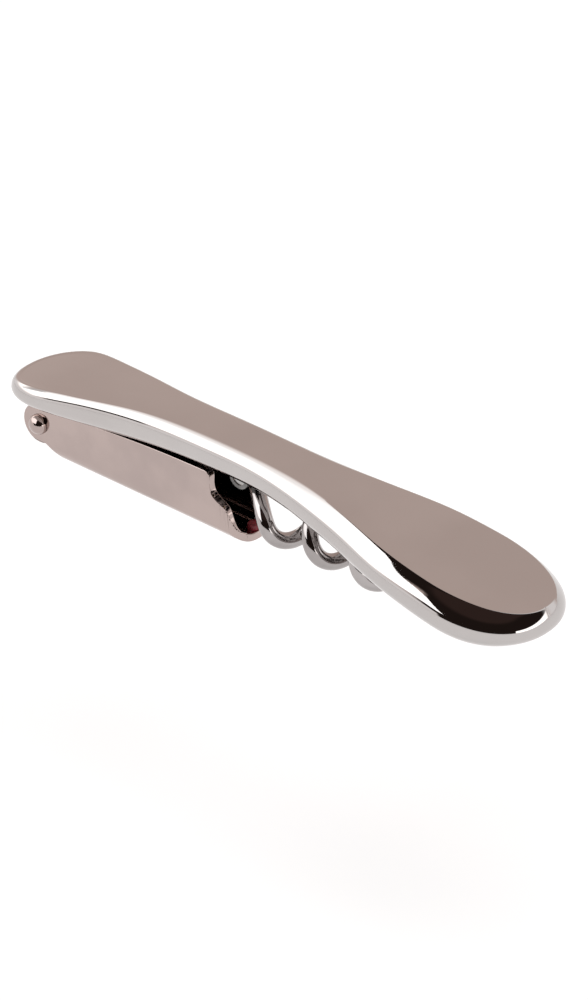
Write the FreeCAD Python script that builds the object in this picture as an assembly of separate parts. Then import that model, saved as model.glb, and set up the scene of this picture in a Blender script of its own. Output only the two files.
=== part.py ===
import FreeCAD, Part
import math
import os

V = FreeCAD.Vector

# Lever corkscrew, folded. Millimetres, +Z up.
# +X runs along the handle from the hinge lobe to the paddle, and Y = 0 is the middle plane.
# The origin is on the resting plane, under the middle of the handle.

# ---------------------------------------------------------------- driving dimensions
HALF_LENGTH = 59.5            # handle, tip to middle

# The handle's size along X, as (x, value) stations joined by smooth curves.
TOP_HEIGHT = ((-59.5, 14.1), (-50, 16.3), (-40, 17.45), (-30, 18.4), (-20, 18.85), (-8, 19.0),
              (4, 18.65), (16, 17.95), (28, 16.6), (40, 14.95), (50, 13.55), (59.5, 12.1))
FLAT_HALF = ((-49, 8.0), (-39, 6.7), (-33, 5.6), (-27, 4.5), (-21, 3.85), (-9, 3.5),
             (3, 3.8), (9, 4.3), (15, 5.3), (21, 6.55), (27, 8.0), (33, 9.1), (41, 9.75))
SIDE_HALF = ((-48, 9.7), (-37, 7.9), (-25, 6.3), (-12, 5.95), (3, 6.2), (18, 8.5),
             (31, 11.4), (43, 12.3))
DEPTH = ((-59.5, 2.6), (-54, 4.7), (-47, 6.0), (-37, 6.9), (-25, 7.2), (-12, 6.9), (3, 6.9),
         (18, 8.6), (31, 9.3), (44, 10.0), (52, 9.2), (59.5, 7.2))
ROUND_END = 2.2               # power of the rounded ends, 2 is an ellipse
LOBE_WIDE = 48.0              # the ends round off from here outwards
PADDLE_WIDE = 41.0
LOBE_FLAT_END = -58.1         # ends of the flat top
PADDLE_FLAT_END = 58.3
WIDEST_SHARE = 0.42           # widest line of the side, as a share of the depth
BELLY_POWER = 2.2             # roundness of the underside
CRISP_FROM = -10.0            # the top edge is soft before this and crisp after the next
CRISP_TO = 32.0
TIP_HALF = 0.25               # half-width left at each very tip
TIP_CLOSED = 0.985            # how far the last section has closed over the flat top
SIDE_STEPS = 4                # points down the side of a section
BELLY_STEPS = 8               # points under it
MIDDLE_SECTIONS = 13          # sections between the two rounded ends
END_SHARES = (0.0, 0.18, 0.36, 0.54, 0.71, 0.86)

# lever: a folded sheet channel
LEVER_HALF = 5.0
SHEET = 1.5
LEVER_BEND = 3.4
HINGE = (-51.9, 6.6)          # x, z of the lever's hinge
EAR_RADIUS = 3.8
EAR_TOP_ANGLE = 72.0
EAR_LOW_ANGLE = -68.0
TOE_X = -3.9
TOE_CORNER = 4.8
TOE_HEIGHT = 1.6              # the cut-back walls end this high at the toe
WEB_START_X = -46.9
HEEL = (-47.6, 1.2)           # where the heel meets the step up to the ear
WALL_TOP = ((-47.0, 10.15), (-41.0, 10.95), (-36.8, 11.4), (-28.9, 12.0), (-21.0, 12.4), (-12.2, 12.6))
WALL_FRONT = ((-12.2, 12.6), (-11.4, 12.3), (-11.1, 11.4), (-11.1, 9.8), (-10.6, 8.4), (-9.4, 7.5),
              (-8.0, 6.8), (-7.2, 5.8), (-6.7, 4.5), (-6.0, 3.2), (-5.2, 2.2), (-4.2, 1.6))

# hinge parts
RIVET_RADIUS = 1.25
RUNNING = 0.05                # radial clearance of every turning fit
SEATED = 0.02                 # radial clearance of every fixed pin
HINGE_CHEEK_OUT = 3.0
HINGE_CHEEK = 1.2
HINGE_CHEEK_RADIUS = 2.8
HINGE_PLATE_Z = (10.7, 11.8)
HINGE_PLATE_X = (-55.8, -43.4)
HINGE_SCREW_X = -45.9
SLEEVE_RADIUS = 2.1
RIVET_HEAD = (1.9, 1.7)       # radius and height of its domes
LEVER_WASHER = (2.7, 3.05, 3.45)   # outer radius, and its two faces' distance from the middle

# worm and its pivot
PIVOT = (-6.3, 12.4)          # x, z of the worm's pin
WIRE = 1.5                    # wire radius
COIL = 3.4                    # radius of the helix, to the wire's centre
PITCH = 10.3
COIL_Z = 5.9
COIL_START_X = 0.64
TURNS = 4.6
TAPER_TURNS = 0.8
TAPER_POWER = 0.8
RINGS_PER_TURN = 16
SHANK_RINGS = 8
RINGS_PER_LOFT = 20
SHANK_START = (1.05, -1.4)    # where the wire leaves the eye, from the pin
SHANK_BEND = (2.4, -3.6)      # and the bend below it
SHANK_LEAD = 2.6              # straight pull into the helix
NECK_THINNING = 0.4           # the wire is flattened by this where it enters the eye
TIP_RADIUS = 0.12
EYE_RADIUS = 2.2
EYE_HALF = 1.3
EYE_EASE = 0.4
PIN_RADIUS = 0.9
PIN_HEAD = (1.4, 0.45)        # radius and height of its domes
WORM_CHEEK_IN = 1.75
WORM_CHEEK_OUT = 2.75
WORM_CHEEK_RADIUS = 2.1
WORM_PLATE_Z = (15.2, 16.2)
WORM_PLATE_X = (-15.4, -3.8)
WORM_SCREW_X = -12.6
WORM_WASHER = (2.0, 1.35, 1.7)
SPRING = 0.5
SPRING_HALF = 1.55

# handle hollows
POCKET_GAP = 0.3
WORM_POCKET_SIDE = 0.75       # room for the pin's heads beside the bracket
WORM_POCKET_FRONT = 1.2       # room for the wire in front of it
GROOVE_HALF = 5.6
GROOVE_ROOF = 11.2
GROOVE_X = (-2.6, 51.5)
BAY_HALF = 5.4
BAY_ROOF = ((-47.5, 10.9), (-36.0, 12.2), (-8.2, 14.1))    # x and height along the bay
BELOW = -1.0                  # any height under the whole tool

SCREW_SHANK = 1.0
SCREW_HEAD = 1.9
SCREW_HEAD_HEIGHT = 1.4
SCREW_HEAD_EASE = 0.5
SCREW_DEPTH = 2.0
SCREW_TIP_GAP = 0.2
CROSS_ARM = 1.2               # cross recess: half length, half width and depth
CROSS_HALF = 0.22
CROSS_DEPTH = 0.65

PAD_X = -5.4
PAD_RADIUS = 1.1
PAD_HEIGHT = 1.1
PAD_EASE = 0.35
ACROSS = 10.0                 # half-width of cutters that pass right through
TINY = 0.01


# ---------------------------------------------------------------- shared helpers
def smooth(x, stations):
    """The value at x of a curve through stations, with level ends beyond them."""
    if x <= stations[0][0]:
        return stations[0][1]
    if x >= stations[-1][0]:
        return stations[-1][1]
    last = len(stations) - 1
    i = max(k for k in range(last) if stations[k][0] <= x)
    (x0, y0), (x1, y1) = stations[i], stations[i + 1]
    width = x1 - x0

    def slope(k):
        a, b = stations[max(k - 1, 0)], stations[min(k + 1, last)]
        return (b[1] - a[1]) / (b[0] - a[0])

    t = (x - x0) / width
    rise0, rise1 = slope(i) * width, slope(i + 1) * width
    return (y0 * (2 * t**3 - 3 * t**2 + 1) + rise0 * (t**3 - 2 * t**2 + t)
            + y1 * (3 * t**2 - 2 * t**3) + rise1 * (t**3 - t**2))


def rounding(x, start, end):
    """1 before start, then down to 0 at end along a rounded corner."""
    share = min(max((x - start) / (end - start), 0.0), 1.0)
    return (1 - share**ROUND_END) ** (1 / ROUND_END)


def cylinder_y(x, z, radius, y0, y1):
    return Part.makeCylinder(radius, y1 - y0, V(x, y0, z), V(0, 1, 0))


def cylinder_z(x, radius, z0, z1):
    return Part.makeCylinder(radius, z1 - z0, V(x, 0, z0), V(0, 0, 1))


def box(x0, x1, y0, y1, z0, z1):
    return Part.makeBox(x1 - x0, y1 - y0, z1 - z0, V(x0, y0, z0))


def side_plate(points, y0, y1):
    """A plate with a straight-edged outline of (x, z) points, from y0 to y1."""
    outline = [V(x, y0, z) for x, z in points]
    face = Part.Face(Part.makePolygon(outline + outline[:1]))
    return face.extrude(V(0, y1 - y0, 0))


def curve(points):
    spline = Part.BSplineCurve()
    spline.interpolate(points)
    return spline.toShape()


def mirrored(shape):
    return shape.mirror(V(0, 0, 0), V(0, 1, 0))


def save(name, shape):
    shape.exportStep(f"parts/{name}.step")
    bounds = shape.BoundBox
    print(f"{name:22s} solids {len(shape.Solids)} valid {shape.isValid()} volume {shape.Volume:9.1f} "
          f"z {bounds.ZMin:.2f} to {bounds.ZMax:.2f}")


# ---------------------------------------------------------------- handle
def closed(x):
    """How far the tip has closed over the end of the flat top, from 0 to 1."""
    paddle = (x - PADDLE_FLAT_END) / (HALF_LENGTH - PADDLE_FLAT_END)
    lobe = (-x + LOBE_FLAT_END) / (HALF_LENGTH + LOBE_FLAT_END)
    return min(max(paddle, lobe, 0.0), TIP_CLOSED)


def handle_sizes(x):
    """Top height, half-width of the flat top, widest half-width, drop to it and depth under it."""
    flat = smooth(x, FLAT_HALF)
    flat *= rounding(-x, LOBE_WIDE, -LOBE_FLAT_END) * rounding(x, PADDLE_WIDE, PADDLE_FLAT_END)
    side = smooth(x, SIDE_HALF)
    side *= rounding(-x, LOBE_WIDE, HALF_LENGTH) * rounding(x, PADDLE_WIDE + 2, HALF_LENGTH)
    depth = smooth(x, DEPTH)
    drop = WIDEST_SHARE * depth
    below = depth - drop
    below *= rounding(-x, LOBE_WIDE + 5, HALF_LENGTH) * rounding(x, PADDLE_WIDE + 5, HALF_LENGTH)
    return smooth(x, TOP_HEIGHT), flat, max(side, TIP_HALF), drop, max(below, TIP_HALF)


def side_point(x, share):
    """(y, z) on the side, as share goes from 0 at the flat top's edge to 1 at the widest line."""
    top, flat, side, drop, below = handle_sizes(x)
    rise = min(max((x - CRISP_FROM) / (CRISP_TO - CRISP_FROM), 0.0), 1.0)
    crisp = rise * rise * (3 - 2 * rise)
    start = closed(x)
    first = 2 / math.pi * math.asin(start)
    t = first + (1 - first) * share
    out = math.sin(math.pi / 2 * t)
    if start > 0:
        out = math.sqrt(max(out**2 - start**2, 0.0) / (1 - start**2))
    fall = crisp * t + (1 - crisp) * (1 - math.cos(math.pi / 2 * t))
    return flat + (side - flat) * out, top - drop * fall


def half_section(x):
    """(y, z) points of one side of the handle's section, from the top edge to the belly's middle."""
    top, flat, side, drop, below = handle_sizes(x)
    points = [side_point(x, k / SIDE_STEPS) for k in range(SIDE_STEPS)]
    points[0] = (max(points[0][0], TIP_HALF / 3), points[0][1])
    for k in range(BELLY_STEPS + 1):
        turn = math.pi / 2 * k / BELLY_STEPS
        y = side * math.cos(turn) ** (2 / BELLY_POWER) if k < BELLY_STEPS else 0.0
        points.append((y, top - drop - below * math.sin(turn) ** (2 / BELLY_POWER)))
    return points


def handle_section(x):
    half = half_section(x)
    around = half + [(-y, z) for y, z in reversed(half[:-1])]
    points = [V(x, y, z) for y, z in around]
    return Part.Wire([curve(points), Part.makeLine(points[-1], points[0])])


def handle_stations():
    """Section positions, crowding towards both tips."""
    lobe_end, paddle_end = -LOBE_WIDE, PADDLE_WIDE + 2
    ends = [math.cos(math.pi / 2 * share) for share in END_SHARES]
    left = [lobe_end - (HALF_LENGTH + lobe_end) * e for e in ends]
    right = [paddle_end + (HALF_LENGTH - paddle_end) * e for e in reversed(ends)]
    step = (paddle_end - lobe_end) / (MIDDLE_SECTIONS + 1)
    middle = [lobe_end + step * k for k in range(MIDDLE_SECTIONS + 2)]
    return left + middle + right


def handle_body():
    body = Part.makeLoft([handle_section(x) for x in handle_stations()], True, False)
    # bay for the folded lever's walls, under the waist
    bay_outline = [(BAY_ROOF[0][0], 0)] + list(BAY_ROOF) + [(BAY_ROOF[-1][0], 0)]
    bay = side_plate(bay_outline, -BAY_HALF, BAY_HALF)
    # long hollow that the folded worm lies in
    g0, g1 = GROOVE_X
    groove = box(g0, g1 - GROOVE_HALF, -GROOVE_HALF, GROOVE_HALF, BELOW, GROOVE_ROOF)
    groove = groove.fuse(cylinder_z(g1 - GROOVE_HALF, GROOVE_HALF, BELOW, GROOVE_ROOF))
    # pockets for the two brackets
    gap = POCKET_GAP / 2
    h0, h1 = HINGE_PLATE_X
    half = HINGE_CHEEK_OUT + gap
    hinge_pocket = box(h0 - gap, h1 + gap, -half, half, BELOW, HINGE_PLATE_Z[1])
    w0, w1 = WORM_PLATE_X
    half = WORM_CHEEK_OUT + WORM_POCKET_SIDE
    worm_pocket = box(w0 - gap, w1 + WORM_POCKET_FRONT, -half, half, BELOW, WORM_PLATE_Z[1])
    body = body.cut(bay).cut(groove).cut(hinge_pocket).cut(worm_pocket)
    for x, plate in ((HINGE_SCREW_X, HINGE_PLATE_Z), (WORM_SCREW_X, WORM_PLATE_Z)):
        body = body.cut(cylinder_z(x, SCREW_SHANK + SEATED, plate[0], plate[1] + SCREW_DEPTH))
    return body.removeSplitter()


# ---------------------------------------------------------------- brackets, screws, spring
def bracket(plate_x, plate_z, cheek_in, cheek_out, centre, radius, bore, screw_x):
    """A base plate with two cheeks that hang down round a pivot, and one screw hole."""
    x, z = centre
    plate = box(plate_x[0], plate_x[1], -cheek_out, cheek_out, plate_z[0], plate_z[1])
    outline = [(x - radius, z), (x - radius, plate_z[0]), (x + radius, plate_z[0]), (x + radius, z)]
    cheek = side_plate(outline, cheek_in, cheek_out)
    cheek = cheek.fuse(cylinder_y(x, z, radius, cheek_in, cheek_out))
    body = plate.fuse([cheek, mirrored(cheek)]).removeSplitter()
    body = body.cut(cylinder_y(x, z, bore, -ACROSS, ACROSS))
    return body.cut(cylinder_z(screw_x, SCREW_SHANK + SEATED, plate_z[0] - 1, plate_z[1] + 1))


def pan_screw(x, seat_z, top_z):
    """A pan-head screw driven upwards, with its head's seat at seat_z."""
    under_z = seat_z - SCREW_HEAD_HEIGHT
    shank = cylinder_z(x, SCREW_SHANK, seat_z, top_z)
    head = cylinder_z(x, SCREW_HEAD, under_z, seat_z)
    rim = [edge for edge in head.Edges if edge.BoundBox.ZMax < under_z + TINY]
    head = head.makeFillet(SCREW_HEAD_EASE, rim)
    low, high = under_z - 1, under_z + CROSS_DEPTH
    cross = box(x - CROSS_ARM, x + CROSS_ARM, -CROSS_HALF, CROSS_HALF, low, high)
    cross = cross.fuse(box(x - CROSS_HALF, x + CROSS_HALF, -CROSS_ARM, CROSS_ARM, low, high))
    return shank.fuse(head).cut(cross).removeSplitter()


def detent_spring():
    """The flat strip under the bracket plate that bears on the worm's eye."""
    top = WORM_PLATE_Z[0]
    strip = box(WORM_PLATE_X[0], WORM_PLATE_X[1], -SPRING_HALF, SPRING_HALF, top - SPRING, top)
    return strip.cut(cylinder_z(WORM_SCREW_X, SCREW_SHANK + SEATED, top - 1, top + 1))


# ---------------------------------------------------------------- lever and its hinge
def ear_point(angle):
    turn = math.radians(angle)
    return V(HINGE[0] + EAR_RADIUS * math.cos(turn), 0, HINGE[1] + EAR_RADIUS * math.sin(turn))


def lever_side_outline():
    """The lever seen from the side: ear, tapered wall, S-curved front edge and toe."""
    ear_top, ear_low = ear_point(EAR_TOP_ANGLE), ear_point(EAR_LOW_ANGLE)
    top = curve([ear_top] + [V(x, 0, z) for x, z in WALL_TOP])
    front_points = [V(x, 0, z) for x, z in WALL_FRONT]
    front = curve(front_points)
    toe_end = TOE_X + 1
    straight = [front_points[-1], V(toe_end, 0, TOE_HEIGHT), V(toe_end, 0, BELOW), V(WEB_START_X, 0, BELOW),
                V(HEEL[0], 0, HEEL[1]), ear_low]
    lines = [Part.makeLine(a, b) for a, b in zip(straight, straight[1:])]
    ear = Part.Arc(ear_low, ear_point(180), ear_top).toShape()
    return Part.Wire([top, front] + lines + [ear])


def channel_profile(half, bend, floor, roof):
    """A U outline in the YZ plane, closed at the roof."""
    s = math.sqrt(0.5)
    left_mid = V(0, -half + bend * (1 - s), floor + bend * (1 - s))
    right_mid = V(0, half - bend * (1 - s), floor + bend * (1 - s))
    edges = [
        Part.makeLine(V(0, -half, roof), V(0, -half, floor + bend)),
        Part.Arc(V(0, -half, floor + bend), left_mid, V(0, -half + bend, floor)).toShape(),
        Part.makeLine(V(0, -half + bend, floor), V(0, half - bend, floor)),
        Part.Arc(V(0, half - bend, floor), right_mid, V(0, half, floor + bend)).toShape(),
        Part.makeLine(V(0, half, floor + bend), V(0, half, roof)),
        Part.makeLine(V(0, half, roof), V(0, -half, roof)),
    ]
    return Part.Face(Part.Wire(edges))


def lever():
    start, length = HINGE[0] - 2 * EAR_RADIUS, 60
    roof = 20
    outer = channel_profile(LEVER_HALF, LEVER_BEND, 0, roof)
    inner = channel_profile(LEVER_HALF - SHEET, LEVER_BEND - SHEET, SHEET, roof + 1)
    channel = outer.extrude(V(length, 0, 0)).cut(inner.extrude(V(length, 0, 0)))
    channel.translate(V(start, 0, 0))
    side = Part.Face(lever_side_outline()).extrude(V(0, 2 * ACROSS, 0))
    side.translate(V(0, -ACROSS, 0))
    wide = LEVER_HALF + 1
    plan = box(start, TOE_X, -LEVER_HALF, LEVER_HALF, BELOW, roof)
    corners = [e for e in plan.Edges if e.BoundBox.ZLength > 3 and e.BoundBox.XMin > TOE_X - TINY]
    plan = plan.makeFillet(TOE_CORNER, corners)
    plan = plan.fuse(box(start, TOE_X - TOE_CORNER, -wide, wide, BELOW, roof))
    body = channel.common(side).common(plan)
    body = body.cut(cylinder_y(HINGE[0], HINGE[1], RIVET_RADIUS + RUNNING, -ACROSS, ACROSS))
    return body.removeSplitter()


def domed_head(x, z, y_seat, radius, height):
    """A domed head on the -Y side, with its flat face at y_seat."""
    sphere_radius = (radius**2 + height**2) / (2 * height)
    ball = Part.makeSphere(sphere_radius, V(x, y_seat - height + sphere_radius, z))
    return ball.common(cylinder_y(x, z, radius, y_seat - height - 1, y_seat))


def headed_pin(x, z, shank, seat, radius, height):
    """A pin along Y with a domed head at each end."""
    near = domed_head(x, z, -seat, radius, height)
    body = cylinder_y(x, z, shank, -seat, seat)
    return body.fuse([near, mirrored(near)]).removeSplitter()


def ring_y(centre, outer, inner, y0, y1):
    x, z = centre
    return cylinder_y(x, z, outer, y0, y1).cut(cylinder_y(x, z, inner, y0 - 1, y1 + 1))


def toe_pad():
    pad = Part.makeCylinder(PAD_RADIUS, PAD_HEIGHT, V(PAD_X, 0, SHEET), V(0, 0, 1))
    rim = [edge for edge in pad.Edges if edge.BoundBox.ZMin > SHEET + PAD_HEIGHT - TINY]
    return pad.makeFillet(PAD_EASE, rim)


# ---------------------------------------------------------------- worm
def helix_point(turn):
    angle = 2 * math.pi * turn
    return V(COIL_START_X + PITCH * turn, -COIL * math.cos(angle), COIL_Z - COIL * math.sin(angle))


def helix_direction(turn):
    angle = 2 * math.pi * turn
    step = V(PITCH, 2 * math.pi * COIL * math.sin(angle), -2 * math.pi * COIL * math.cos(angle))
    return step.normalize()


def shank_point(t):
    """The wire's way from the eye to the coil, as t goes from 0 to 1."""
    pin, end = V(PIVOT[0], 0, PIVOT[1]), helix_point(0)
    start = pin + V(SHANK_START[0], 0, SHANK_START[1])
    bend = pin + V(SHANK_BEND[0], 0, SHANK_BEND[1])
    anchors = (start, bend, end - helix_direction(0) * SHANK_LEAD, end)
    weights = ((1 - t) ** 3, 3 * t * (1 - t) ** 2, 3 * t * t * (1 - t), t**3)
    total = V(0, 0, 0)
    for anchor, weight in zip(anchors, weights):
        total = total + anchor * weight
    return total


def ring(centre, direction, radius):
    return Part.Wire([Part.Circle(centre, direction, radius).toShape()])


def wire_rings():
    """The wire's cross-sections from the eye, round the helix and down to the point."""
    rings = []
    step = 0.01
    for k in range(SHANK_RINGS):
        t = k / SHANK_RINGS
        ahead = shank_point(min(t + step, 1)) - shank_point(max(t - step, 0))
        neck = NECK_THINNING * (1 - min(2 * t, 1)) ** 2
        rings.append(ring(shank_point(t), ahead.normalize(), WIRE - neck))
    steps = int(TURNS * RINGS_PER_TURN)
    for k in range(steps + 1):
        turn = TURNS * k / steps
        left = min((TURNS - turn) / TAPER_TURNS, 1.0)
        radius = TIP_RADIUS + (WIRE - TIP_RADIUS) * left**TAPER_POWER
        rings.append(ring(helix_point(turn), helix_direction(turn), radius))
    return rings


def wire_rod():
    """The wire as a few short lofts joined end to end."""
    rings = wire_rings()
    last = len(rings) - 1
    lengths = [Part.makeLoft(rings[k:min(k + RINGS_PER_LOFT, last) + 1], True, False)
               for k in range(0, last, RINGS_PER_LOFT)]
    return lengths[0].fuse(lengths[1:])


def worm():
    rod = wire_rod()
    eye = cylinder_y(PIVOT[0], PIVOT[1], EYE_RADIUS, -EYE_HALF, EYE_HALF)
    rims = [edge for edge in eye.Edges if edge.Length > 6 * EYE_RADIUS]
    body = rod.fuse(eye.makeFillet(EYE_EASE, rims))
    return body.cut(cylinder_y(PIVOT[0], PIVOT[1], PIN_RADIUS + RUNNING, -ACROSS, ACROSS))


# ---------------------------------------------------------------- build
def save_washers(name, centre, size, bore):
    """The near and the far washer on a pin."""
    outer, inside, outside = size
    near = ring_y(centre, outer, bore, -outside, -inside)
    save(f"{name}_near", near)
    save(f"{name}_far", mirrored(near))


def main():
    os.makedirs("parts", exist_ok=True)
    save("handle_body", handle_body())

    cheek_in = HINGE_CHEEK_OUT - HINGE_CHEEK
    rivet_bore = RIVET_RADIUS + SEATED
    hinge = bracket(HINGE_PLATE_X, HINGE_PLATE_Z, cheek_in, HINGE_CHEEK_OUT, HINGE, HINGE_CHEEK_RADIUS,
                    rivet_bore, HINGE_SCREW_X)
    save("hinge_bracket", hinge)
    screw_top = HINGE_PLATE_Z[1] + SCREW_DEPTH - SCREW_TIP_GAP
    save("hinge_bracket_screw", pan_screw(HINGE_SCREW_X, HINGE_PLATE_Z[0], screw_top))
    save("hinge_sleeve", ring_y(HINGE, SLEEVE_RADIUS, rivet_bore, -cheek_in + SEATED, cheek_in - SEATED))
    save("lever", lever())
    save("lever_rivet", headed_pin(HINGE[0], HINGE[1], RIVET_RADIUS, LEVER_HALF + RUNNING, *RIVET_HEAD))
    save_washers("lever_washer", HINGE, LEVER_WASHER, rivet_bore)
    save("toe_pad", toe_pad())

    pin_bore = PIN_RADIUS + SEATED
    holder = bracket(WORM_PLATE_X, WORM_PLATE_Z, WORM_CHEEK_IN, WORM_CHEEK_OUT, PIVOT, WORM_CHEEK_RADIUS,
                     pin_bore, WORM_SCREW_X)
    save("worm_bracket", holder)
    screw_top = WORM_PLATE_Z[1] + SCREW_DEPTH - SCREW_TIP_GAP
    save("worm_bracket_screw", pan_screw(WORM_SCREW_X, WORM_PLATE_Z[0] - SPRING, screw_top))
    save("detent_spring", detent_spring())
    save("worm_pin", headed_pin(PIVOT[0], PIVOT[1], PIN_RADIUS, WORM_CHEEK_OUT + RUNNING, *PIN_HEAD))
    save_washers("worm_washer", PIVOT, WORM_WASHER, pin_bore)
    save("worm", worm())


main()
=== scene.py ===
import math

import bmesh
import bpy
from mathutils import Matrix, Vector

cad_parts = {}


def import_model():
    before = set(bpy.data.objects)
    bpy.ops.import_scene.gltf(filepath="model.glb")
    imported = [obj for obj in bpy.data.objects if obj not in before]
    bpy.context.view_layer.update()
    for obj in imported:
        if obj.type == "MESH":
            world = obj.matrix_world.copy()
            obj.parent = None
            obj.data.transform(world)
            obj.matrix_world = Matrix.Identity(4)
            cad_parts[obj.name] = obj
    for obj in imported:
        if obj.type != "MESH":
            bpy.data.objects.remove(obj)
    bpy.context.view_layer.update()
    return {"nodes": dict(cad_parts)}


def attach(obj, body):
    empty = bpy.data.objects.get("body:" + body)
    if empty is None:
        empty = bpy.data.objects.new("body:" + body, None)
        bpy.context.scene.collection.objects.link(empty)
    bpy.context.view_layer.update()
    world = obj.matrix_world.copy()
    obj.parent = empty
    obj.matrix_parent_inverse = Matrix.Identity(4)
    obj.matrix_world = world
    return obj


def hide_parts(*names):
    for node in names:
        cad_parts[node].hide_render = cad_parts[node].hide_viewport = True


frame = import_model()
nodes = frame["nodes"]

MM = 0.001

# ---------------------------------------------------------------- driving dimensions
# Shared by all pieces. Every angle is in degrees.
SHARP_ANGLE = 35              # edges that turn more than this are shaded as edges
TURNED_SIDES = 96             # sides of each turned surface
OVERSHOOT = 1                 # a cutter reaches this many millimetres past what it cuts
BELOW = -1.0                  # height that upright cutters start from, under the resting plane
WELD_GAP = 1e-6               # metres within which vertices are joined

# The handle's outer surface, in millimetres. The stations are the CAD model's, apart from the highest,
# which is 0.01 mm lower, so that this surface stays inside the CAD box.
HALF_LENGTH = 59.5
TOP_HEIGHT = ((-59.5, 14.1), (-50, 16.3), (-40, 17.45), (-30, 18.4), (-20, 18.85), (-8, 18.99),
              (4, 18.65), (16, 17.95), (28, 16.6), (40, 14.95), (50, 13.55), (59.5, 12.1))
FLAT_HALF = ((-49, 8.0), (-39, 6.7), (-33, 5.6), (-27, 4.5), (-21, 3.85), (-9, 3.5),
             (3, 3.8), (9, 4.3), (15, 5.3), (21, 6.55), (27, 8.0), (33, 9.1), (41, 9.75))
SIDE_HALF = ((-48, 9.7), (-37, 7.9), (-25, 6.3), (-12, 5.95), (3, 6.2), (18, 8.5),
             (31, 11.4), (43, 12.3))
DEPTH = ((-59.5, 2.6), (-54, 4.7), (-47, 6.0), (-37, 6.9), (-25, 7.2), (-12, 6.9), (3, 6.9),
         (18, 8.6), (31, 9.3), (44, 10.0), (52, 9.2), (59.5, 7.2))
LOBE_FLAT_END = -58.1         # X of the flat top's two ends
PADDLE_FLAT_END = 58.3
LOBE_WIDE = 48.0              # the flat top rounds off from this far out at the lobe
PADDLE_WIDE = 41.0            # and from here at the paddle
SIDE_LATER = 2                # the paddle's side starts to round off this much further out
BELLY_LATER = 5               # and the belly this much further out, at both ends
ROUND_END = 2.2               # power of those rounded ends
TIP_HALF = 0.02               # half-width left at each very tip, finer than the CAD model's
WIDEST_SHARE = 0.42           # the widest place lies this share of the depth under the top
BELLY_POWER = 2.2             # power of the belly's section, where 2 is an ellipse
CRISP_FROM = -10.0            # between these X the flat top's rim goes from soft to crisp
CRISP_TO = 32.0
EVEN_REACH = 5.0              # the curves are averaged over this far to either side
EVEN_STEPS = 5
EDGE_EASE = 0.3               # the rim is eased over this width of the flat top
EDGE_SHARE = 0.07             # and over this share of the side
EDGE_OF_FLAT = 0.9            # near the tips the ease is at most this share of the flat's half-width
EDGE_LEAST = 0.1              # plus this share of itself
HANDLE_STEPS = 420            # rings along the handle
FLAT_STEPS = 8                # points of half a ring: on the flat top, the rim, the side and the belly
EDGE_STEPS = 4
SIDE_STEPS = 14
BELLY_STEPS = 30

# The hollows under the handle, in millimetres.
GROOVE_HALF = 5.6
GROOVE_ROOF = 11.2
GROOVE_X = (-2.6, 51.5)
GROOVE_STEPS = 40
BAY_HALF = 5.4
BAY_ROOF = ((-47.5, 10.9), (-36.0, 12.2), (-8.2, 14.1))
HINGE_POCKET = ((-55.95, -43.25), 3.15, 11.8)       # its x, half-width and roof
WORM_POCKET = ((-15.55, -2.6), 3.5, 16.2)

# The worm, in millimetres.
PIVOT = (-6.3, 12.4)          # x and z of the axis that it turns on
WIRE = 1.5                    # radius of the wire
COIL = 3.4                    # radius of the helix along the wire's middle
PITCH = 10.3
COIL_Z = 5.9
COIL_START_X = 0.64
TURNS = 4.6
TAPER_TURNS = 0.8             # the last turns, over which the wire thins to its point
TAPER_POWER = 0.8
SHANK_START = (1.05, -1.4)    # x and z of the shank's first control points, from the axis
SHANK_BEND = (2.4, -3.6)
SHANK_LEAD = 2.6              # its third lies this far back along the helix
NECK_THINNING = 0.4           # the wire is this much thinner at the eye
TIP_RADIUS = 0.12
EYE_RADIUS = 2.2
EYE_HALF = 1.3
EYE_EASE = 0.4
EASE_STEPS = 6
DISC_MIDDLE = 0.02            # radius of the small flat that closes a disc
PIN_HOLE = 0.98               # radius
WIRE_SIDES = 32
WIRE_STEPS = 64               # rings in one turn of the helix

# The lever, in millimetres.
HINGE = (-51.9, 6.6)          # x and z of the axis that it turns on
LEVER_HALF = 5.0
SHEET = 1.5                   # thickness of the metal
LEVER_BEND = 3.4              # outer radius of the fold
CHANNEL_TOP = 20              # height of the channel before its outline is cut
EAR_RADIUS = 3.8
EAR_TOP_ANGLE = 72.0
EAR_LOW_ANGLE = -68.0
TOE_X = -3.9
TOE_CORNER = 4.8
TOE_HEIGHT = 1.6
WEB_START_X = -46.9
HEEL = (-47.6, 1.2)
WALL_TOP = ((-47.0, 10.15), (-41.0, 10.95), (-36.8, 11.4), (-28.9, 12.0), (-21.0, 12.4), (-12.2, 12.6))
WALL_FRONT = ((-12.2, 12.6), (-11.4, 12.3), (-11.1, 11.4), (-11.1, 9.8), (-10.6, 8.4), (-9.4, 7.5),
              (-8.0, 6.8), (-7.2, 5.8), (-6.7, 4.5), (-6.0, 3.2), (-5.2, 2.2), (-4.2, 1.6))
RIVET_HOLE = 1.33             # radius
LEVER_EASE = 0.16             # width of its eased edges
LEVER_EASE_SEGMENTS = 3
EAR_STEPS = 48
FOLD_STEPS = 16
CORNER_STEPS = 24
CURVE_STEPS = 6               # parts between two points of the walls' outline

# The lever's rivet, in millimetres.
RIVET_RADIUS = 1.25
RIVET_HEAD = (1.9, 1.7)       # radius and height of its domes
RIVET_HALF = 5.08
DOME_STEPS = 16
DOME_MIDDLE = 0.01            # radius of the small flat that closes a dome

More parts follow.
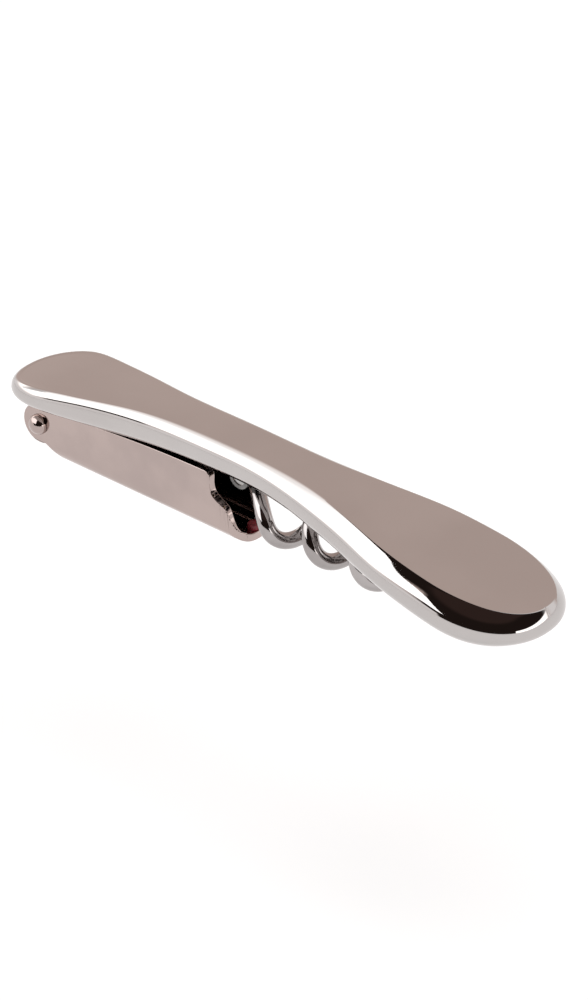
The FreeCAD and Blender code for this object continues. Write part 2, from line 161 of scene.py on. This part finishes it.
# The metals' and the rubber's fine detail, in cycles per metre and metres.
SMUDGE_FINER = 3              # smudges are this much finer than the clouds
SMUDGE_DETAIL = 5
SCRATCH_SCALE = 900
SCRATCH_STRETCH = (0.08, 1, 0.6)
SCRATCH_BAND = (0.66, 0.72)   # the part of the noise that becomes scratches
FINE_DETAIL = 2
RUBBER_CLOUD = 900
RUBBER_MOTTLE = 2500
RUBBER_ROUGHNESS = (0.35, 0.55)
RUBBER_GRAIN = 4000
RUBBER_DEPTH = 0.00003

# The Mix node repeats its sockets for each kind of data. These are the ones for colours.
MIX_FIRST = 6
MIX_SECOND = 7
MIX_RESULT = 2

# The studio, in metres, degrees and radiance.
CAMERA_AZIMUTH = 41.0
CAMERA_ELEVATION = 31.5
CAMERA_DISTANCE = 0.700
CAMERA_LENS = 147.4           # focal length and sensor width, in millimetres
SENSOR_WIDTH = 36
CAMERA_NEAR = 0.01
CAMERA_FAR = 100
CAMERA_AIM = Vector((0.0031, 0.0009, 0.0101))
WARM = (0.72, 0.59, 0.54)
BRIGHT_SIDE = (2.6, 2.55, 2.5)
GREY_SIDE = (1.15, 1.12, 1.12)
BLACK = (0.02, 0.013, 0.011)
BROWN = (0.045, 0.027, 0.023)
# Patches of the room, each painted over those before it: azimuth from and to, elevation from and
# to, softness of the edges, and colour. The azimuth is 0 towards -X and 90 towards -Y, the front.
ROOM = ((-26, 72, -90, 12, 16, GREY_SIDE), (-24, 52, 12, 28, 14, BRIGHT_SIDE), (0, 70, 35, 90, 4, BLACK),
        (60, 190, 8, 90, 3, BLACK), (70, 190, -90, 10, 3, BLACK), (-190, -140, -90, 90, 3, BLACK),
        (60, 190, 42, 90, 8, BROWN), (157, 190, -3, 9, 2, BRIGHT_SIDE),
        (-190, -140, -3, 9, 2, BRIGHT_SIDE), (-140, -110, -90, 90, 20, GREY_SIDE))
VERTICAL = 90                 # a patch that reaches straight up or down has no edge there
CARD_HEIGHT = 0.130
CARD_X = (-0.40, -0.055)
CARD_Y = (-0.40, 0.125)
CARD_BRIGHT = 2.4
CARD_DIM = 1.1
CARD_DIM_CORNER = (-0.15, -0.055)
CARD_SOFT = 0.01
CARD_FADE = (-0.07, 0.085)    # it fades away between these values of Y
FLOOR_Z = -0.046              # under the lowest reach of the opened lever and worm
FLOOR_REACH = 3.0
FLOOR_COLOUR = (0.55, 0.56, 0.57)
FLOOR_GLOW = 0.62
LAMP_HEIGHT = 1.4
LAMP_SIZE = 1.6
LAMP_POWER = 10.0


# ---------------------------------------------------------------- curves through stations
def smooth(x, stations):
    """The value at x of a curve through stations, with level ends beyond them."""
    if x <= stations[0][0]:
        return stations[0][1]
    if x >= stations[-1][0]:
        return stations[-1][1]
    last = len(stations) - 1
    i = max(k for k in range(last) if stations[k][0] <= x)
    (x0, y0), (x1, y1) = stations[i], stations[i + 1]
    width = x1 - x0

    def slope(k):
        a, b = stations[max(k - 1, 0)], stations[min(k + 1, last)]
        return (b[1] - a[1]) / (b[0] - a[0])

    t = (x - x0) / width
    rise0, rise1 = slope(i) * width, slope(i + 1) * width
    return (y0 * (2 * t**3 - 3 * t**2 + 1) + rise0 * (t**3 - 2 * t**2 + t)
            + y1 * (3 * t**2 - 2 * t**3) + rise1 * (t**3 - t**2))


def even(x, stations):
    """The same curve with its changes of curvature spread out, as polished metal needs."""
    total = weights = 0.0
    for k in range(-EVEN_STEPS, EVEN_STEPS + 1):
        weight = math.cos(math.pi / 2 * k / (EVEN_STEPS + 1)) ** 2
        total += weight * smooth(x + EVEN_REACH * k / EVEN_STEPS, stations)
        weights += weight
    return total / weights


def rounding(x, start, end):
    """1 before start, then down to 0 at end along a rounded corner."""
    share = min(max((x - start) / (end - start), 0.0), 1.0)
    return (1 - share**ROUND_END) ** (1 / ROUND_END)


def handle_sizes(x):
    """Top height, half-width of the flat top, widest half-width, drop to it and depth under it."""
    flat = even(x, FLAT_HALF)
    flat *= rounding(-x, LOBE_WIDE, -LOBE_FLAT_END) * rounding(x, PADDLE_WIDE, PADDLE_FLAT_END)
    side = even(x, SIDE_HALF)
    side *= rounding(-x, LOBE_WIDE, HALF_LENGTH) * rounding(x, PADDLE_WIDE + SIDE_LATER, HALF_LENGTH)
    depth = even(x, DEPTH)
    drop = WIDEST_SHARE * depth
    below = depth - drop
    below *= rounding(-x, LOBE_WIDE + BELLY_LATER, HALF_LENGTH)
    below *= rounding(x, PADDLE_WIDE + BELLY_LATER, HALF_LENGTH)
    return smooth(x, TOP_HEIGHT), flat, max(side, TIP_HALF), drop, max(below, TIP_HALF)


def half_ring(share):
    """(x, y, z) points of one side, from the middle of the flat top down to the middle of the belly.

    The share runs from 0 at the lobe's tip to 1 at the paddle's. The side leaves the flat top's
    outline squarely, so the section leans outwards near both tips.
    """
    wide_x = -HALF_LENGTH * math.cos(math.pi * share)
    flat_x = LOBE_FLAT_END + (PADDLE_FLAT_END - LOBE_FLAT_END) * (wide_x / HALF_LENGTH + 1) / 2
    edge_z, edge_y = handle_sizes(flat_x)[:2]
    top, _, side, drop, below = handle_sizes(wide_x)
    rim = Vector((flat_x, edge_y, edge_z))
    wide = Vector((wide_x, side, top - drop))
    t = min(max((wide_x - CRISP_FROM) / (CRISP_TO - CRISP_FROM), 0.0), 1.0)
    crisp = t * t * (3 - 2 * t)

    def side_point(t):
        out = math.sin(math.pi / 2 * t)
        fall = crisp * t + (1 - crisp) * (1 - math.cos(math.pi / 2 * t))
        return Vector((rim.x + (wide.x - rim.x) * out, rim.y + (wide.y - rim.y) * out,
                       rim.z + (wide.z - rim.z) * fall))

    outward = Vector((wide.x - rim.x, wide.y - rim.y, 0)).normalized()
    inner = rim - outward * min(EDGE_EASE, rim.y * EDGE_OF_FLAT + EDGE_EASE * EDGE_LEAST)
    inner.y = max(inner.y, 0)
    outer = side_point(EDGE_SHARE)
    points = [Vector((inner.x, inner.y * k / FLAT_STEPS, inner.z)) for k in range(FLAT_STEPS)]
    for k in range(EDGE_STEPS + 1):
        t = k / EDGE_STEPS
        points.append(inner * (1 - t) ** 2 + rim * (2 * t * (1 - t)) + outer * t**2)
    for k in range(1, SIDE_STEPS):
        points.append(side_point(EDGE_SHARE + (1 - EDGE_SHARE) * k / SIDE_STEPS))
    for k in range(BELLY_STEPS + 1):
        turn = math.pi / 2 * k / BELLY_STEPS
        y = side * math.cos(turn) ** (2 / BELLY_POWER) if k < BELLY_STEPS else 0.0
        points.append(Vector((wide_x, y, top - drop - below * math.sin(turn) ** (2 / BELLY_POWER))))
    return points


# ---------------------------------------------------------------- material helpers
def new_material(name):
    material = bpy.data.materials.new(name)
    material.use_nodes = True
    tree = material.node_tree
    return material, tree, tree.nodes["Principled BSDF"]


def noise(tree, scale, stretch=(1, 1, 1), detail=3.0):
    """A noise in the piece's own space, with scale in cycles per metre."""
    place = tree.nodes.new("ShaderNodeTexCoord")
    mapping = tree.nodes.new("ShaderNodeMapping")
    mapping.inputs["Scale"].default_value = [scale * part for part in stretch]
    pattern = tree.nodes.new("ShaderNodeTexNoise")
    pattern.inputs["Scale"].default_value = 1.0
    pattern.inputs["Detail"].default_value = detail
    tree.links.new(place.outputs["Object"], mapping.inputs["Vector"])
    tree.links.new(mapping.outputs["Vector"], pattern.inputs["Vector"])
    return pattern.outputs["Fac"]


def mapped(tree, value, low, high, start=0.35, stop=0.65):
    """Maps a value between start and stop smoothly onto the range from low to high."""
    node = tree.nodes.new("ShaderNodeMapRange")
    node.interpolation_type = "SMOOTHSTEP"
    node.inputs["From Min"].default_value = start
    node.inputs["From Max"].default_value = stop
    node.inputs["To Min"].default_value = low
    node.inputs["To Max"].default_value = high
    tree.links.new(value, node.inputs["Value"])
    return node.outputs["Result"]


def calculate(tree, operation, *values):
    """The result of a math node, where each value is a number or another node's output."""
    node = tree.nodes.new("ShaderNodeMath")
    node.operation = operation
    for socket, value in zip(node.inputs, values):
        if isinstance(value, (int, float)):
            socket.default_value = value
        else:
            tree.links.new(value, socket)
    return node.outputs["Value"]


def blended(tree, share, first, second):
    """A colour between two, each a tuple or another node's colour."""
    node = tree.nodes.new("ShaderNodeMix")
    node.data_type = "RGBA"
    tree.links.new(share, node.inputs["Factor"])
    for socket, colour in ((node.inputs[MIX_FIRST], first), (node.inputs[MIX_SECOND], second)):
        if isinstance(colour, tuple):
            socket.default_value = (*colour, 1)
        else:
            tree.links.new(colour, socket)
    return node.outputs[MIX_RESULT]


def bumped(tree, shader, height, depth):
    """Feeds a height, scaled to a depth in metres, into the shader's normal."""
    node = tree.nodes.new("ShaderNodeBump")
    node.inputs["Strength"].default_value = 1.0
    node.inputs["Distance"].default_value = depth
    tree.links.new(height, node.inputs["Height"])
    tree.links.new(node.outputs["Normal"], shader.inputs["Normal"])


def metal(name, clean, worn, roughness, smudge, cloud, grain, depth, stretch=(1, 1, 1)):
    """A metal with cloudy tone, smudged roughness, hairline scratches and a fine grain.

    Its tone lies between clean and worn. Smudges and scratches add up to smudge each to the
    roughness. The cloud and the grain are in cycles per metre, and the grain's depth in metres.
    """
    material, tree, shader = new_material(name)
    shader.inputs["Metallic"].default_value = 1.0
    tree.links.new(blended(tree, mapped(tree, noise(tree, cloud), 0, 1), clean, worn),
                   shader.inputs["Base Color"])
    smudges = mapped(tree, noise(tree, cloud * SMUDGE_FINER, detail=SMUDGE_DETAIL), 0, smudge)
    hairlines = mapped(tree, noise(tree, SCRATCH_SCALE, SCRATCH_STRETCH, FINE_DETAIL), 0, smudge,
                       *SCRATCH_BAND)
    total = calculate(tree, "ADD", calculate(tree, "ADD", smudges, hairlines), roughness)
    tree.links.new(total, shader.inputs["Roughness"])
    bumped(tree, shader, noise(tree, grain, stretch, FINE_DETAIL), depth)
    return material


# ---------------------------------------------------------------- materials
def rubber(name, colour, dusty):
    material, tree, shader = new_material(name)
    tree.links.new(blended(tree, mapped(tree, noise(tree, RUBBER_CLOUD), 0, 1), colour, dusty),
                   shader.inputs["Base Color"])
    tree.links.new(mapped(tree, noise(tree, RUBBER_MOTTLE), *RUBBER_ROUGHNESS), shader.inputs["Roughness"])
    bumped(tree, shader, noise(tree, RUBBER_GRAIN), RUBBER_DEPTH)
    return material


CHROME = metal("chrome", clean=(0.53, 0.505, 0.495), worn=(0.50, 0.475, 0.465),
               roughness=0.025, smudge=0.02, cloud=45, grain=5000, depth=4e-7)
CAST = metal("cast_inside", clean=(0.30, 0.29, 0.28), worn=(0.22, 0.21, 0.20),
             roughness=0.42, smudge=0.15, cloud=200, grain=2600, depth=3e-5)
NICKEL = metal("nickel", clean=(0.47, 0.385, 0.36), worn=(0.42, 0.345, 0.325),
               roughness=0.05, smudge=0.04, cloud=90, grain=4200, depth=1.2e-6, stretch=(0.15, 1, 1))
WIRE_STEEL = metal("wire_steel", clean=(0.44, 0.415, 0.41), worn=(0.36, 0.335, 0.33),
                   roughness=0.05, smudge=0.06, cloud=160, grain=3500, depth=2e-6)
STAMPED = metal("stamped_steel", clean=(0.24, 0.235, 0.23), worn=(0.17, 0.165, 0.16),
                roughness=0.26, smudge=0.12, cloud=220, grain=3000, depth=1e-5)
BRIGHT = metal("fastener_steel", clean=(0.50, 0.49, 0.48), worn=(0.40, 0.39, 0.38),
               roughness=0.16, smudge=0.10, cloud=300, grain=4000, depth=4e-6)
BRASS = metal("brass", clean=(0.66, 0.46, 0.18), worn=(0.50, 0.33, 0.12),
              roughness=0.20, smudge=0.12, cloud=300, grain=3000, depth=5e-6)
BLUED = metal("spring_steel", clean=(0.20, 0.22, 0.28), worn=(0.28, 0.25, 0.24),
              roughness=0.22, smudge=0.10, cloud=400, grain=3500, depth=4e-6)
RED = rubber("red_rubber", colour=(0.33, 0.018, 0.035), dusty=(0.22, 0.02, 0.03))
NODE_MATERIALS = {
    "hinge_bracket": STAMPED, "hinge_bracket_screw": BRIGHT, "hinge_sleeve": BRIGHT,
    "lever_washer_near": BRASS, "lever_washer_far": BRASS, "toe_pad": RED, "worm_bracket": STAMPED,
    "worm_bracket_screw": BRIGHT, "detent_spring": BLUED, "worm_pin": BRIGHT,
    "worm_washer_near": BRASS, "worm_washer_far": BRASS,
}


# ---------------------------------------------------------------- mesh helpers
def placed(name, data):
    """A new object in the scene."""
    obj = bpy.data.objects.new(name, data)
    bpy.context.scene.collection.objects.link(obj)
    return obj


def evaluated(obj):
    """A new mesh of the object as its modifiers leave it."""
    return bpy.data.meshes.new_from_object(obj.evaluated_get(bpy.context.evaluated_depsgraph_get()))


def shade(data):
    """Smooth shading with the sharp edges kept."""
    data.shade_smooth()
    data.set_sharp_from_angle(angle=math.radians(SHARP_ANGLE))


def add(name, data, node, body, material):
    """Puts a finished mesh in the scene in place of a CAD node, in this material if it has none."""
    obj = placed(name, data)
    if not data.materials:
        data.materials.append(material)
    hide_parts(node)
    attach(obj, body)
    return obj


def finished(mesh, name):
    """Turns a bmesh into a smooth mesh with its faces outwards."""
    bmesh.ops.recalc_face_normals(mesh, faces=mesh.faces)
    data = bpy.data.meshes.new(name)
    mesh.to_mesh(data)
    mesh.free()
    data.shade_smooth()
    return data


def skin(mesh, rings):
    """Joins closed rings of vertices into a tube with flat ends."""
    count = len(rings[0])
    for a, b in zip(rings, rings[1:]):
        for k in range(count):
            j = (k + 1) % count
            mesh.faces.new((a[k], a[j], b[j], b[k]))
    mesh.faces.new(rings[0][::-1])
    mesh.faces.new(rings[-1])


def extruded(outline, axis, low, high, name):
    """An outline of points in the two other coordinates, extruded along x, y or z, in millimetres."""
    mesh = bmesh.new()
    rings = []
    for level in (low, high):
        ring = []
        for point in outline:
            place = list(point)
            place.insert("xyz".index(axis), level)
            ring.append(mesh.verts.new([value * MM for value in place]))
        rings.append(ring)
    skin(mesh, rings)
    return finished(mesh, name)


def lathe(profile, centre, name):
    """(radius, y) points in millimetres turned about an axis along Y through centre."""
    mesh = bmesh.new()
    rings = []
    for radius, y in profile:
        ring = []
        for k in range(TURNED_SIDES):
            turn = 2 * math.pi * k / TURNED_SIDES
            ring.append(mesh.verts.new(((centre[0] + radius * math.cos(turn)) * MM, y * MM,
                                        (centre[1] + radius * math.sin(turn)) * MM)))
        rings.append(ring)
    skin(mesh, rings)
    return finished(mesh, name)


def combined(data, others, operation):
    """The mesh after an exact boolean with each of the other meshes."""
    body = placed("body", data)
    tools = []
    for other in others:
        tool = placed("tool", other)
        tools.append(tool)
        step = body.modifiers.new("cut", "BOOLEAN")
        step.operation = operation
        step.solver = "EXACT"
        step.object = tool
    result = evaluated(body)
    for obj in [body] + tools:
        bpy.data.objects.remove(obj)
    return result


# ---------------------------------------------------------------- handle
def handle_skin():
    """The handle's closed outer surface, without its hollows."""
    mesh = bmesh.new()
    rings = []
    for step in range(HANDLE_STEPS + 1):
        half = half_ring(step / HANDLE_STEPS)
        around = half + [Vector((p.x, -p.y, p.z)) for p in reversed(half[1:-1])]
        rings.append([mesh.verts.new(point * MM) for point in around])
    skin(mesh, rings)
    return finished(mesh, "handle_shell")


def groove_plan():
    """The worm groove from above: straight sides and a round end."""
    x0, x1 = GROOVE_X
    centre = x1 - GROOVE_HALF
    points = [(x0, -GROOVE_HALF)]
    for k in range(GROOVE_STEPS + 1):
        turn = math.pi * (k / GROOVE_STEPS - 0.5)
        points.append((centre + GROOVE_HALF * math.cos(turn), GROOVE_HALF * math.sin(turn)))
    return points + [(x0, GROOVE_HALF)]


def hollows():
    """The cutters for the lever's bay, the two brackets' pockets and the worm's groove."""
    outline = [(BAY_ROOF[0][0], BELOW)] + list(BAY_ROOF) + [(BAY_ROOF[-1][0], BELOW)]
    cutters = [extruded(outline, "y", -BAY_HALF, BAY_HALF, "bay")]
    for (x0, x1), half, roof in (HINGE_POCKET, WORM_POCKET):
        outline = [(x0, BELOW), (x0, roof), (x1, roof), (x1, BELOW)]
        cutters.append(extruded(outline, "y", -half, half, "pocket"))
    cutters.append(extruded(groove_plan(), "z", BELOW, GROOVE_ROOF, "groove"))
    return cutters


def handle():
    data = handle_skin()
    data.materials.append(CHROME)
    cutters = hollows()
    for cutter in cutters:
        cutter.materials.append(CAST)
    cut = combined(data, cutters, "DIFFERENCE")
    cut.name = "handle_shell"
    shade(cut)
    add("handle_shell", cut, "handle_body", "handle", CHROME)


# ---------------------------------------------------------------- worm
def helix_point(turn):
    """The wire's middle after so many turns of the helix."""
    angle = 2 * math.pi * turn
    return Vector((COIL_START_X + PITCH * turn, -COIL * math.cos(angle), COIL_Z - COIL * math.sin(angle)))


def helix_direction(turn):
    angle = 2 * math.pi * turn
    step = Vector((PITCH, 2 * math.pi * COIL * math.sin(angle), -2 * math.pi * COIL * math.cos(angle)))
    return step.normalized()


def shank_point(t):
    """The wire's way from the eye to the coil, as t goes from 0 to 1."""
    pin, end = Vector((PIVOT[0], 0, PIVOT[1])), helix_point(0)
    anchors = (pin + Vector((SHANK_START[0], 0, SHANK_START[1])),
               pin + Vector((SHANK_BEND[0], 0, SHANK_BEND[1])),
               end - helix_direction(0) * SHANK_LEAD, end)
    weights = ((1 - t) ** 3, 3 * t * (1 - t) ** 2, 3 * t * t * (1 - t), t**3)
    total = Vector((0, 0, 0))
    for anchor, weight in zip(anchors, weights):
        total += anchor * weight
    return total


def wire_path():
    """(centre, radius) along the wire, from the eye to the point."""
    path = []
    steps = WIRE_STEPS // 2
    for k in range(steps):
        t = k / steps
        path.append((shank_point(t), WIRE - NECK_THINNING * (1 - min(2 * t, 1)) ** 2))
    steps = int(TURNS * WIRE_STEPS)
    for k in range(steps + 1):
        turn = TURNS * k / steps
        left = min((TURNS - turn) / TAPER_TURNS, 1.0)
        path.append((helix_point(turn), TIP_RADIUS + (WIRE - TIP_RADIUS) * left**TAPER_POWER))
    return path


def wire():
    """The wire alone, as rings carried along its path without twisting."""
    path = wire_path()
    mesh = bmesh.new()
    rings = []
    side = Vector((0, 1, 0))
    last = len(path) - 1
    for k, (centre, radius) in enumerate(path):
        along = (path[min(k + 1, last)][0] - path[max(k - 1, 0)][0]).normalized()
        side = (side - along * side.dot(along)).normalized()
        up = along.cross(side)
        ring = []
        for i in range(WIRE_SIDES):
            turn = 2 * math.pi * i / WIRE_SIDES
            outwards = side * math.cos(turn) + up * math.sin(turn)
            ring.append(mesh.verts.new((centre + outwards * radius) * MM))
        rings.append(ring)
    skin(mesh, rings)
    return finished(mesh, "worm")


def worm():
    eye = lathe(eased_disc(EYE_RADIUS, EYE_HALF, EYE_EASE), PIVOT, "eye")
    hole = lathe([(PIN_HOLE, -2 * EYE_HALF), (PIN_HOLE, 2 * EYE_HALF)], PIVOT, "hole")
    data = combined(combined(wire(), [eye], "UNION"), [hole], "DIFFERENCE")
    data.name = "worm"
    shade(data)
    data.materials.clear()
    add("worm_wire", data, "worm", "worm", WIRE_STEEL)


def eased_disc(radius, half, ease):
    """The profile of a disc about Y with rounded rims."""
    edge = []
    for k in range(EASE_STEPS + 1):
        turn = math.pi / 2 * k / EASE_STEPS
        edge.append((radius - ease + ease * math.sin(turn), -half + ease - ease * math.cos(turn)))
    return [(DISC_MIDDLE, -half)] + edge + [(r, -y) for r, y in reversed(edge)] + [(DISC_MIDDLE, half)]


# ---------------------------------------------------------------- lever
def through(points):
    """A smooth curve through (x, z) points, with CURVE_STEPS parts between each two."""
    result = []
    last = len(points) - 1
    for k in range(last):
        before, start = points[max(k - 1, 0)], points[k]
        end, after = points[k + 1], points[min(k + 2, last)]
        for i in range(CURVE_STEPS):
            t = i / CURVE_STEPS
            result.append(tuple(
                0.5 * (2 * start[n] + (end[n] - before[n]) * t
                       + (2 * before[n] - 5 * start[n] + 4 * end[n] - after[n]) * t * t
                       + (3 * start[n] - before[n] - 3 * end[n] + after[n]) * t**3) for n in (0, 1)))
    return result + [points[-1]]


def arc(centre, radius, start, end, steps):
    """Points of an arc from one angle to another."""
    angles = [math.radians(start + (end - start) * k / steps) for k in range(steps + 1)]
    return [(centre[0] + radius * math.cos(a), centre[1] + radius * math.sin(a)) for a in angles]


def lever_outline():
    """The lever seen from the side, as (x, z) points."""
    ear = arc(HINGE, EAR_RADIUS, 360 + EAR_LOW_ANGLE, EAR_TOP_ANGLE, EAR_STEPS)
    top = through([ear[-1]] + list(WALL_TOP))[1:]
    front = through(WALL_FRONT)[1:]
    toe_end = TOE_X + OVERSHOOT
    return ear + top + front + [(toe_end, TOE_HEIGHT), (toe_end, BELOW), (WEB_START_X, BELOW), HEEL]


def channel(half, bend, bottom, height):
    """The U-shaped section of the sheet, as (y, z) points."""
    right = arc((half - bend, bottom + bend), bend, -90, 0, FOLD_STEPS)
    points = right + [(half, height)]
    return points + [(-y, z) for y, z in reversed(points)]


def lever_plan(start):
    """The lever seen from above: two straight sides from start on, and a rounded toe."""
    centre_x = TOE_X - TOE_CORNER
    right = arc((centre_x, LEVER_HALF - TOE_CORNER), TOE_CORNER, 90, 0, CORNER_STEPS)
    clear = LEVER_HALF + OVERSHOOT
    plan = [(start, clear), (centre_x, clear)] + right
    return plan + [(x, -y) for x, y in reversed(plan)]


def lever():
    """The folded channel, cut to its outline from the side and from above."""
    start = HINGE[0] - 2 * EAR_RADIUS
    outside = channel(LEVER_HALF, LEVER_BEND, 0, CHANNEL_TOP)
    inside = channel(LEVER_HALF - SHEET, LEVER_BEND - SHEET, SHEET, CHANNEL_TOP + OVERSHOOT)
    outer = extruded(outside, "x", start, 0, "lever")
    inner = extruded(inside, "x", start - OVERSHOOT, OVERSHOOT, "inner")
    side = extruded(lever_outline(), "y", -2 * LEVER_HALF, 2 * LEVER_HALF, "side")
    plan = extruded(lever_plan(start - 2 * OVERSHOOT), "z", BELOW, CHANNEL_TOP, "plan")
    hole = lathe([(RIVET_HOLE, -2 * LEVER_HALF), (RIVET_HOLE, 2 * LEVER_HALF)], HINGE, "hole")
    data = combined(outer, [inner], "DIFFERENCE")
    data = combined(data, [side, plan], "INTERSECT")
    data = combined(data, [hole], "DIFFERENCE")
    data = eased(data, LEVER_EASE)
    data.name = "lever_sheet"
    data.materials.clear()
    add("lever_sheet", data, "lever", "lever", NICKEL)


def eased(data, width):
    """The mesh with its sharp edges slightly rounded and its flat faces shaded flat."""
    data.shade_smooth()
    body = placed("body", data)
    weld = body.modifiers.new("weld", "WELD")
    weld.merge_threshold = WELD_GAP
    bevel = body.modifiers.new("bevel", "BEVEL")
    bevel.width = width * MM
    bevel.segments = LEVER_EASE_SEGMENTS
    bevel.limit_method = "ANGLE"
    bevel.angle_limit = math.radians(SHARP_ANGLE)
    bevel.use_clamp_overlap = False
    bevel.harden_normals = True
    result = evaluated(body)
    bpy.data.objects.remove(body)
    return result


# ---------------------------------------------------------------- rivet
def lever_rivet():
    """The hinge pin with a low dome at either end."""
    radius, height = RIVET_HEAD
    dome = []
    for k in range(DOME_STEPS + 1):
        turn = math.pi / 2 * k / DOME_STEPS
        dome.append((max(radius * math.sin(turn), DOME_MIDDLE), -RIVET_HALF - height * math.cos(turn)))
    dome.append((RIVET_RADIUS, -RIVET_HALF))
    profile = dome + [(r, -y) for r, y in reversed(dome)]
    data = lathe(profile, HINGE, "lever_rivet_turned")
    shade(data)
    add("lever_rivet_turned", data, "lever_rivet", "handle", NICKEL)


# ---------------------------------------------------------------- pieces kept from the CAD
def dress_cad_nodes():
    """Materials and smooth shading, with the flat faces left flat, for the pieces shown as they are."""
    for node, material in NODE_MATERIALS.items():
        obj = nodes[node]
        mesh = obj.data
        for k in range(len(mesh.materials)):
            mesh.materials[k] = material
        shade(mesh)
        flat = obj.modifiers.new("flat_faces", "WEIGHTED_NORMAL")
        flat.keep_sharp = True


handle()
worm()
lever()
lever_rivet()
dress_cad_nodes()


# ---------------------------------------------------------------- studio
def camera():
    """The camera at its angle about the tool, where azimuth 0 looks along +Y."""
    azimuth, elevation = math.radians(CAMERA_AZIMUTH), math.radians(CAMERA_ELEVATION)
    back = Vector((math.sin(azimuth) * math.cos(elevation), -math.cos(azimuth) * math.cos(elevation),
                   math.sin(elevation)))
    data = bpy.data.cameras.new("camera")
    data.lens = CAMERA_LENS
    data.sensor_width = SENSOR_WIDTH
    data.clip_start = CAMERA_NEAR
    data.clip_end = CAMERA_FAR
    obj = placed("camera", data)
    obj.location = CAMERA_AIM + back * CAMERA_DISTANCE
    obj.rotation_mode = "QUATERNION"
    obj.rotation_quaternion = (-back).to_track_quat("-Z", "Y")
    bpy.context.scene.camera = obj


def sheet(name, x, y, z, material):
    """A level rectangle of the studio."""
    data = bpy.data.meshes.new(name)
    corners = [(x[0], y[0], z), (x[1], y[0], z), (x[1], y[1], z), (x[0], y[1], z)]
    data.from_pydata(corners, [], [(0, 1, 2, 3)])
    data.materials.append(material)
    obj = placed(name, data)
    return obj


def floor():
    """A plain pale floor that glows a little, so that it comes out nearly white."""
    material, tree, shader = new_material("floor")
    shader.inputs["Base Color"].default_value = (*FLOOR_COLOUR, 1)
    shader.inputs["Roughness"].default_value = 1.0
    shader.inputs["Specular IOR Level"].default_value = 0.0
    shader.inputs["Emission Color"].default_value = (1, 1, 1, 1)
    shader.inputs["Emission Strength"].default_value = FLOOR_GLOW
    sheet("floor", (-FLOOR_REACH, FLOOR_REACH), (-FLOOR_REACH, FLOOR_REACH), FLOOR_Z, material)


def near_card():
    """A glowing card low over the hinge end, seen only in reflections."""
    material = bpy.data.materials.new("card")
    material.use_nodes = True
    tree = material.node_tree
    tree.nodes.clear()
    place = tree.nodes.new("ShaderNodeNewGeometry")
    split = tree.nodes.new("ShaderNodeSeparateXYZ")
    tree.links.new(place.outputs["Position"], split.inputs[0])
    x, y = split.outputs["X"], split.outputs["Y"]
    far = mapped(tree, x, 1, 0, CARD_DIM_CORNER[0] - CARD_SOFT, CARD_DIM_CORNER[0] + CARD_SOFT)
    rear = mapped(tree, y, 0, 1, CARD_DIM_CORNER[1] - CARD_SOFT, CARD_DIM_CORNER[1] + CARD_SOFT)
    strength = mapped(tree, calculate(tree, "MULTIPLY", far, rear), CARD_BRIGHT, CARD_DIM, 0, 1)
    clear = mapped(tree, y, 0, 1, *CARD_FADE)
    glow = tree.nodes.new("ShaderNodeEmission")
    nothing = tree.nodes.new("ShaderNodeBsdfTransparent")
    mixed = tree.nodes.new("ShaderNodeMixShader")
    output = tree.nodes.new("ShaderNodeOutputMaterial")
    tree.links.new(strength, glow.inputs["Strength"])
    tree.links.new(clear, mixed.inputs[0])
    tree.links.new(glow.outputs["Emission"], mixed.inputs[1])
    tree.links.new(nothing.outputs["BSDF"], mixed.inputs[2])
    tree.links.new(mixed.outputs["Shader"], output.inputs["Surface"])
    card = sheet("card", CARD_X, CARD_Y, CARD_HEIGHT, material)
    card.visible_camera = False
    card.visible_diffuse = False
    card.visible_shadow = False


def lamp():
    """A broad soft light straight above, left out of reflections."""
    data = bpy.data.lights.new("overhead", "AREA")
    data.shape = "DISK"
    data.size = LAMP_SIZE
    data.energy = LAMP_POWER
    obj = placed("overhead", data)
    obj.location = (0, 0, LAMP_HEIGHT)
    obj.visible_glossy = False


def world():
    """A warm room, by direction: bright to the left, dark in front, above and to the right.

    One small bright gap is low on the right, and a soft grey one at the back.
    """
    scene = bpy.context.scene
    scene.world = bpy.data.worlds.new("studio")
    scene.world.use_nodes = True
    tree = scene.world.node_tree
    background = tree.nodes["Background"]
    place = tree.nodes.new("ShaderNodeTexCoord")
    split = tree.nodes.new("ShaderNodeSeparateXYZ")
    tree.links.new(place.outputs["Generated"], split.inputs[0])
    x, y, z = (split.outputs[name] for name in "XYZ")
    negative_x, negative_y = (calculate(tree, "MULTIPLY", value, -1) for value in (x, y))
    azimuth = calculate(tree, "ARCTAN2", negative_y, negative_x)
    elevation = calculate(tree, "ARCSINE", z)
    colour = WARM
    for from_az, to_az, from_el, to_el, softness, patch in ROOM:
        soft = math.radians(softness) / 2
        share = None
        for value, edge, rises in ((azimuth, from_az, True), (azimuth, to_az, False),
                                   (elevation, from_el, True), (elevation, to_el, False)):
            if abs(edge) >= VERTICAL and value is elevation:
                continue
            angle = math.radians(edge)
            part = mapped(tree, value, 0 if rises else 1, 1 if rises else 0, angle - soft, angle + soft)
            share = part if share is None else calculate(tree, "MULTIPLY", share, part)
        colour = blended(tree, share, colour, patch)
    tree.links.new(colour, background.inputs["Color"])
    scene.view_settings.view_transform = "Standard"


camera()
floor()
near_card()
lamp()
world()
